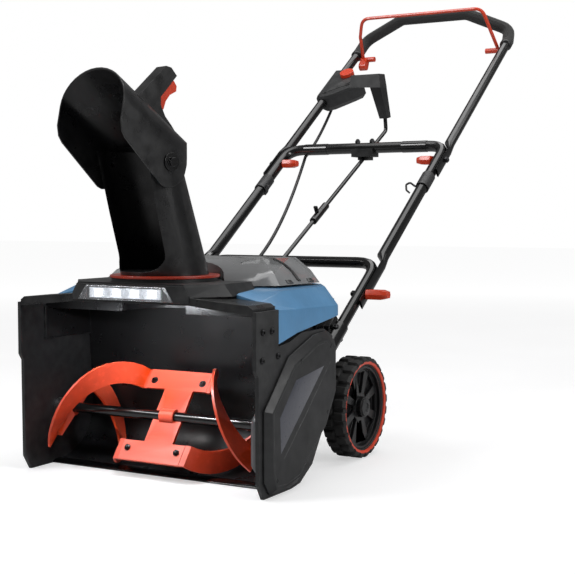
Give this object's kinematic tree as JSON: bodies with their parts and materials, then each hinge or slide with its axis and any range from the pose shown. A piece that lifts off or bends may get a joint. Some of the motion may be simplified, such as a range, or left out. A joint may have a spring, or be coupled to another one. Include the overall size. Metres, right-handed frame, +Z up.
{
  "type": "snowblower",
  "caption": "Walk-behind single stage snowblower with a crank-turned chute, tilting hood, orange-red auger, lidded battery wells and a folding tube handle with a bail.",
  "frame": {"origin": "The point on the ground under the middle of the machine's bounding box. The scraper bar, side plates and both tyres stand on z = 0.", "axes": "+X is the operator's left, where the belt cover is. The auger mouth faces -Y and the operator stands at +Y. +Z is up."},
  "size_m": [0.5049, 1.373, 0.9601],
  "materials": {
    "black_plastic": "Fine-grained black moulding",
    "dark_plastic": "Textured charcoal moulding",
    "grey_plastic": "Smooth mid-grey moulding",
    "blue_plastic": "Satin steel-blue moulding",
    "auger_red": "Orange-red moulded rubber and plastic, scuffed",
    "ring_red": "Satin red moulding",
    "orange_plastic": "Satin coral-orange moulding",
    "smoked_plastic": "Glossy smoke-grey moulding",
    "clear_plastic": "Clear lens with fine flutes",
    "black_paint": "Gloss black powder coat on tube",
    "steel": "Plain turned steel",
    "tyre_rubber": "Moulded black rubber with tread",
    "belt_rubber": "Smooth black belt rubber",
    "foam": "Closed-cell black foam sleeve",
    "board_green": "Lacquered circuit board"
  },
  "bodies": {
    "chassis": {"auger_housing": "black_plastic", "side_plate_left": "dark_plastic", "side_plate_right": "dark_plastic", "scraper_bar": "black_paint", "belt_cover": "dark_plastic", "bearing_guard": "grey_plastic", "chute_deck": "dark_plastic", "headlight_lens": "clear_plastic", "led_board": "board_green", "shroud": "blue_plastic", "battery_tray": "black_plastic", "terminal_board": "black_plastic", "lid_hinge_pin": "steel", "rear_case": "black_plastic", "motor_can": "steel", "drive_belt": "belt_rubber", "controller_board": "board_green", "auger_bearing_left": "steel", "auger_bearing_right": "steel", "wheel_axle": "steel", "handle_bracket_left": "black_paint", "handle_bracket_right": "black_paint", "lower_frame": "black_paint", "power_cable_lower": "grey_plastic"},
    "auger": {"auger_shaft": "black_paint", "auger_paddle": "auger_red", "auger_flight_left": "auger_red", "auger_flight_right": "auger_red", "auger_pulley": "black_plastic"},
    "motor_spindle": {"motor_rotor": "steel"},
    "lid": {"battery_lid": "smoked_plastic"},
    "wheel_left": {"tyre_left": "tyre_rubber", "rim_left": "black_plastic"},
    "wheel_right": {"tyre_right": "tyre_rubber", "rim_right": "black_plastic"},
    "chute": {"chute_ring": "ring_red", "chute_tube": "black_plastic"},
    "hood": {"deflector": "black_plastic", "deflector_handle": "black_plastic", "pivot_bolt_left": "black_paint", "pivot_bolt_right": "black_paint"},
    "trigger": {"deflector_trigger": "orange_plastic"},
    "transfer": {"transfer_shaft": "steel"},
    "crank_lower": {"crank_rod_lower": "black_paint"},
    "crank_upper": {"crank_rod_upper": "black_paint", "crank_grip": "dark_plastic"},
    "middle_section": {"middle_frame": "black_paint", "crank_bracket": "black_plastic", "tube_clip_left": "dark_plastic", "tube_clip_right": "dark_plastic"},
    "upper_section": {"upper_handle": "black_paint", "foam_grip": "foam", "switch_box": "dark_plastic", "power_cable_upper": "grey_plastic"},
    "bail": {"bail_lever": "orange_plastic"},
    "button": {"start_button": "orange_plastic"},
    "clamp_lower_left": {"lower_knob_left": "orange_plastic"},
    "clamp_lower_right": {"lower_knob_right": "orange_plastic"},
    "clamp_upper_left": {"upper_knob_left": "orange_plastic"},
    "clamp_upper_right": {"upper_knob_right": "orange_plastic"}
  },
  "joints": [
    {"name": "auger_spin", "type": "hinge", "parent": "chassis", "child": "auger", "pos_m": [0, -0.51307, 0.1], "axis": [1, 0, 0], "continuous": true},
    {"name": "motor_spin", "type": "hinge", "parent": "chassis", "child": "motor_spindle", "pos_m": [0, -0.39107, 0.2], "axis": [1, 0, 0], "continuous": true},
    {"name": "wheel_left_roll", "type": "hinge", "parent": "chassis", "child": "wheel_left", "pos_m": [0.214, -0.21707, 0.0926], "axis": [1, 0, 0], "continuous": true},
    {"name": "wheel_right_roll", "type": "hinge", "parent": "chassis", "child": "wheel_right", "pos_m": [-0.214, -0.21707, 0.0926], "axis": [1, 0, 0], "continuous": true},
    {"name": "lid_open", "type": "hinge", "parent": "chassis", "child": "lid", "pos_m": [0, -0.28407, 0.33], "axis": [-1, 0, 0], "range_deg": [0, 75]},
    {"name": "chute_rotate", "type": "hinge", "parent": "chassis", "child": "chute", "pos_m": [0, -0.51307, 0.34], "axis": [0, 0, 1], "range_deg": [-75, 105]},
    {"name": "transfer_turn", "type": "hinge", "parent": "chassis", "child": "transfer", "pos_m": [0, -0.31307, 0.311], "axis": [0, 1, 0], "range_deg": [-945, 675]},
    {"name": "crank_lower_turn", "type": "hinge", "parent": "chassis", "child": "crank_lower", "pos_m": [0, -0.10907, 0.357], "axis": [0, 0.8625, 0.506], "range_deg": [-945, 675]},
    {"name": "deflector_tilt", "type": "hinge", "parent": "chute", "child": "hood", "pos_m": [-0.01475, -0.56813, 0.528], "axis": [0.9659, -0.2588, 0], "range_deg": [-5, 35]},
    {"name": "trigger_pull", "type": "hinge", "parent": "hood", "child": "trigger", "pos_m": [-0.00336, -0.52563, 0.622], "axis": [0.9659, -0.2588, 0], "range_deg": [0, 9], "stiffness_Nm_per_rad": 0.3, "springref_deg": -8.59},
    {"name": "handle_fold", "type": "hinge", "parent": "chassis", "child": "middle_section", "pos_m": [0, -0.15607, 0.2952], "axis": [1, 0, 0], "range_deg": [0, 85]},
    {"name": "crank_turn", "type": "hinge", "parent": "middle_section", "child": "crank_upper", "pos_m": [0, -0.10907, 0.357], "axis": [0, 0.8625, 0.506], "range_deg": [-945, 675]},
    {"name": "upper_fold", "type": "hinge", "parent": "middle_section", "child": "upper_section", "pos_m": [0, 0.21656, 0.56149], "axis": [-1, 0, 0], "range_deg": [0, 85]},
    {"name": "bail_squeeze", "type": "hinge", "parent": "upper_section", "child": "bail", "pos_m": [0, 0.62993, 0.845], "axis": [-1, 0, 0], "range_deg": [0, 28], "stiffness_Nm_per_rad": 1.5, "springref_deg": -17.19},
    {"name": "button_press", "type": "slide", "parent": "upper_section", "child": "button", "axis": [0, 0.5814, -0.8136], "range_m": [0, 0.004], "stiffness_N_per_m": 250, "springref_m": -0.003},
    {"name": "clamp_lower_left_turn", "type": "hinge", "parent": "middle_section", "child": "clamp_lower_left", "pos_m": [0, -0.15607, 0.2952], "axis": [1, 0, 0], "continuous": true},
    {"name": "clamp_lower_right_turn", "type": "hinge", "parent": "middle_section", "child": "clamp_lower_right", "pos_m": [0, -0.15607, 0.2952], "axis": [1, 0, 0], "continuous": true},
    {"name": "clamp_upper_left_turn", "type": "hinge", "parent": "upper_section", "child": "clamp_upper_left", "pos_m": [0, 0.21656, 0.56149], "axis": [1, 0, 0], "continuous": true},
    {"name": "clamp_upper_right_turn", "type": "hinge", "parent": "upper_section", "child": "clamp_upper_right", "pos_m": [0, 0.21656, 0.56149], "axis": [1, 0, 0], "continuous": true}
  ],
  "couplings": [
    {"joint": "motor_spin", "follows": "auger_spin", "ratio": 5.27},
    {"joint": "transfer_turn", "follows": "chute_rotate", "ratio": -9},
    {"joint": "crank_lower_turn", "follows": "chute_rotate", "ratio": -9},
    {"joint": "crank_turn", "follows": "chute_rotate", "ratio": -9}
  ]
}
